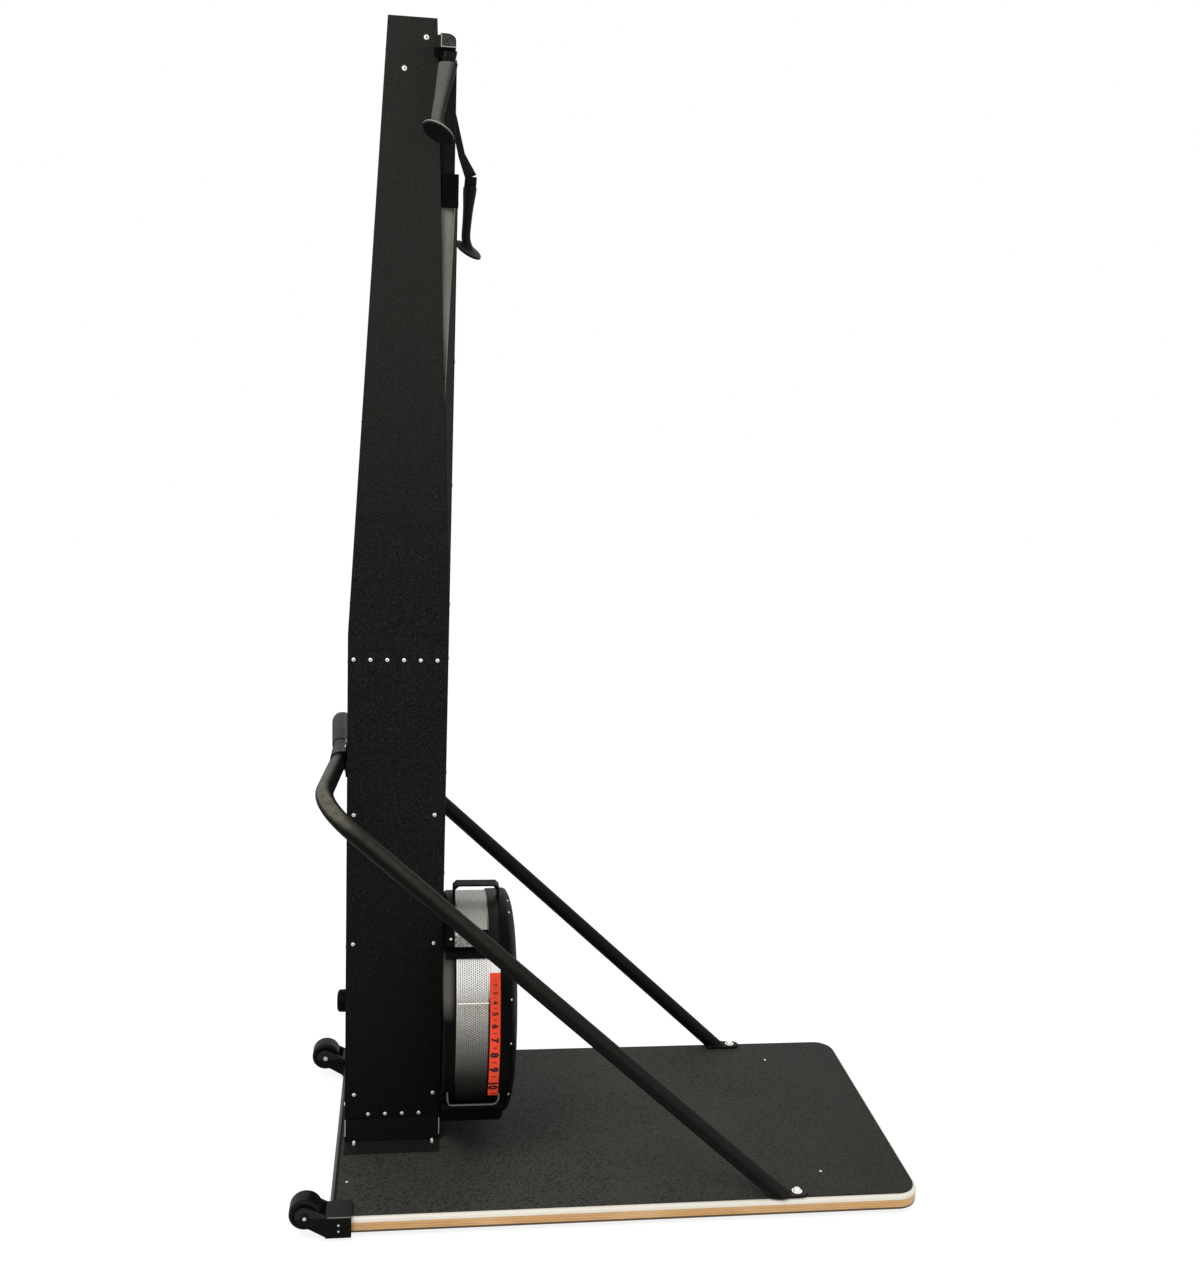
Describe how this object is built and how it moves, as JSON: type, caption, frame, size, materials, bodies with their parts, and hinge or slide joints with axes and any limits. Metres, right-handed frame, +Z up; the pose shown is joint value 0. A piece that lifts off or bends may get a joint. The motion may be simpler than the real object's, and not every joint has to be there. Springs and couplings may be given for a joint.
{
  "type": "ski simulator",
  "caption": "Standing ski trainer: plywood platform, tall steel tower, air brake fan with damper, two pull handles on straps over top pulleys, tube brace and transport wheels.",
  "frame": {"origin": "bottom centre of the whole object's box, on the floor", "axes": "+X from the tower towards the standing user, +Y to the user's right, +Z up"},
  "size_m": [1.1822, 0.6576, 2.13],
  "materials": {
    "plywood": "lacquered plywood edge",
    "mat_rubber": "grained non-slip",
    "foot_rubber": "matt",
    "bracket_paint": "satin powder coat",
    "wheel_rubber": "matt",
    "bright_steel": "zinc plated",
    "tower_paint": "fine textured powder coat",
    "mast_steel": "primed",
    "grey_sheet": "satin",
    "tube_paint": "semi-gloss powder coat",
    "case_plastic": "satin moulded",
    "band_alloy": "perforated, brushed",
    "scale_red": "printed label film",
    "cast_alloy": "as cast",
    "webbing": "woven nylon",
    "grip_rubber": "soft moulded",
    "console_plastic": "fine grain",
    "key_plastic": "satin"
  },
  "bodies": {
    "base": {"base_board": "plywood", "base_mat": "mat_rubber", "left_rear_foot": "foot_rubber", "right_rear_foot": "foot_rubber", "left_front_foot": "foot_rubber", "right_front_foot": "foot_rubber", "left_wheel_bracket": "bracket_paint", "right_wheel_bracket": "bracket_paint", "left_wheel_bolt": "bright_steel", "right_wheel_bolt": "bright_steel", "left_base_angle": "tower_paint", "right_base_angle": "tower_paint", "left_lower_side_panel": "tower_paint", "right_lower_side_panel": "tower_paint", "left_upper_side_panel": "tower_paint", "right_upper_side_panel": "tower_paint", "rear_cover": "tower_paint", "lower_front_cover": "tower_paint", "upper_front_cover": "tower_paint", "top_cap": "tower_paint", "mast": "mast_steel", "mast_base_plate": "mast_steel", "strap_duct": "grey_sheet", "crossbar": "tube_paint", "crossbar_clamp": "tube_paint", "left_brace_leg": "tube_paint", "right_brace_leg": "tube_paint", "left_brace_bolt": "bright_steel", "right_brace_bolt": "bright_steel", "fan_rear_shell": "case_plastic", "fan_front_shell": "case_plastic", "fan_band": "band_alloy", "damper_scale": "scale_red", "fan_lower_saddle": "case_plastic", "fan_top_guard": "case_plastic", "rear_bearing": "bright_steel", "front_bearing": "bright_steel", "axle_cap": "case_plastic", "pulley_head": "tower_paint", "left_inner_strap": "webbing", "right_inner_strap": "webbing", "left_handle_strap": "webbing", "right_handle_strap": "webbing", "return_bungee": "webbing", "console": "console_plastic"},
    "left_wheel": {"left_transport_wheel": "wheel_rubber"},
    "right_wheel": {"right_transport_wheel": "wheel_rubber"},
    "fan": {"fan_rotor": "cast_alloy", "fan_shaft": "bright_steel"},
    "damper": {"damper_lever": "case_plastic"},
    "left_drum": {"left_strap_drum": "cast_alloy"},
    "right_drum": {"right_strap_drum": "cast_alloy"},
    "left_roller_in": {"left_inner_pulley": "cast_alloy"},
    "left_roller_out": {"left_outer_pulley": "cast_alloy"},
    "right_roller_in": {"right_inner_pulley": "cast_alloy"},
    "right_roller_out": {"right_outer_pulley": "cast_alloy"},
    "left_grip": {"left_handle": "grip_rubber"},
    "right_grip": {"right_handle": "grip_rubber"},
    "left_key": {"left_console_button": "key_plastic"},
    "right_key": {"right_console_button": "key_plastic"}
  },
  "joints": [
    {"name": "left_wheel_spin", "type": "hinge", "parent": "base", "child": "left_wheel", "pos_m": [-0.56205, -0.287, 0.052], "axis": [0, 1, 0], "continuous": true},
    {"name": "right_wheel_spin", "type": "hinge", "parent": "base", "child": "right_wheel", "pos_m": [-0.56205, 0.287, 0.052], "axis": [0, 1, 0], "continuous": true},
    {"name": "fan_spin", "type": "hinge", "parent": "base", "child": "fan", "pos_m": [-0.25375, 0, 0.315], "axis": [1, 0, 0], "continuous": true},
    {"name": "damper_turn", "type": "hinge", "parent": "base", "child": "damper", "pos_m": [-0.26375, 0, 0.315], "axis": [1, 0, 0], "range_deg": [0, 70]},
    {"name": "left_pull", "type": "slide", "parent": "base", "child": "left_grip", "axis": [0, 0, -1], "range_m": [0, 1.2], "stiffness_N_per_m": 15, "springref_m": -0.4, "deforming": ["left_handle_strap"]},
    {"name": "right_pull", "type": "slide", "parent": "base", "child": "right_grip", "axis": [0, 0, -1], "range_m": [-0.1, 1.03], "stiffness_N_per_m": 15, "springref_m": -0.05, "deforming": ["right_handle_strap"]},
    {"name": "left_drum_turn", "type": "hinge", "parent": "base", "child": "left_drum", "pos_m": [-0.35545, 0, 0.315], "axis": [1, 0, 0], "continuous": true},
    {"name": "right_drum_turn", "type": "hinge", "parent": "base", "child": "right_drum", "pos_m": [-0.33495, 0, 0.315], "axis": [1, 0, 0], "continuous": true},
    {"name": "left_roller_in_turn", "type": "hinge", "parent": "base", "child": "left_roller_in", "pos_m": [-0.34345, -0.03655, 2.0769], "axis": [1, 0, 0], "continuous": true},
    {"name": "left_roller_out_turn", "type": "hinge", "parent": "base", "child": "left_roller_out", "pos_m": [-0.34345, -0.11295, 2.0769], "axis": [1, 0, 0], "continuous": true},
    {"name": "right_roller_in_turn", "type": "hinge", "parent": "base", "child": "right_roller_in", "pos_m": [-0.34345, 0.03655, 2.0769], "axis": [1, 0, 0], "continuous": true},
    {"name": "right_roller_out_turn", "type": "hinge", "parent": "base", "child": "right_roller_out", "pos_m": [-0.34345, 0.11295, 2.0769], "axis": [1, 0, 0], "continuous": true},
    {"name": "left_key_press", "type": "slide", "parent": "base", "child": "left_key", "axis": [-1, 0, 0], "range_m": [0, 0.001], "stiffness_N_per_m": 200},
    {"name": "right_key_press", "type": "slide", "parent": "base", "child": "right_key", "axis": [-1, 0, 0], "range_m": [0, 0.001], "stiffness_N_per_m": 200}
  ],
  "couplings": [
    {"joint": "left_drum_turn", "follows": "left_pull", "rad_per_m": -35.026},
    {"joint": "left_roller_in_turn", "follows": "left_pull", "rad_per_m": 141.84},
    {"joint": "left_roller_out_turn", "follows": "left_pull", "rad_per_m": 141.84},
    {"joint": "right_drum_turn", "follows": "right_pull", "rad_per_m": 35.026},
    {"joint": "right_roller_in_turn", "follows": "right_pull", "rad_per_m": -141.84},
    {"joint": "right_roller_out_turn", "follows": "right_pull", "rad_per_m": -141.84}
  ]
}
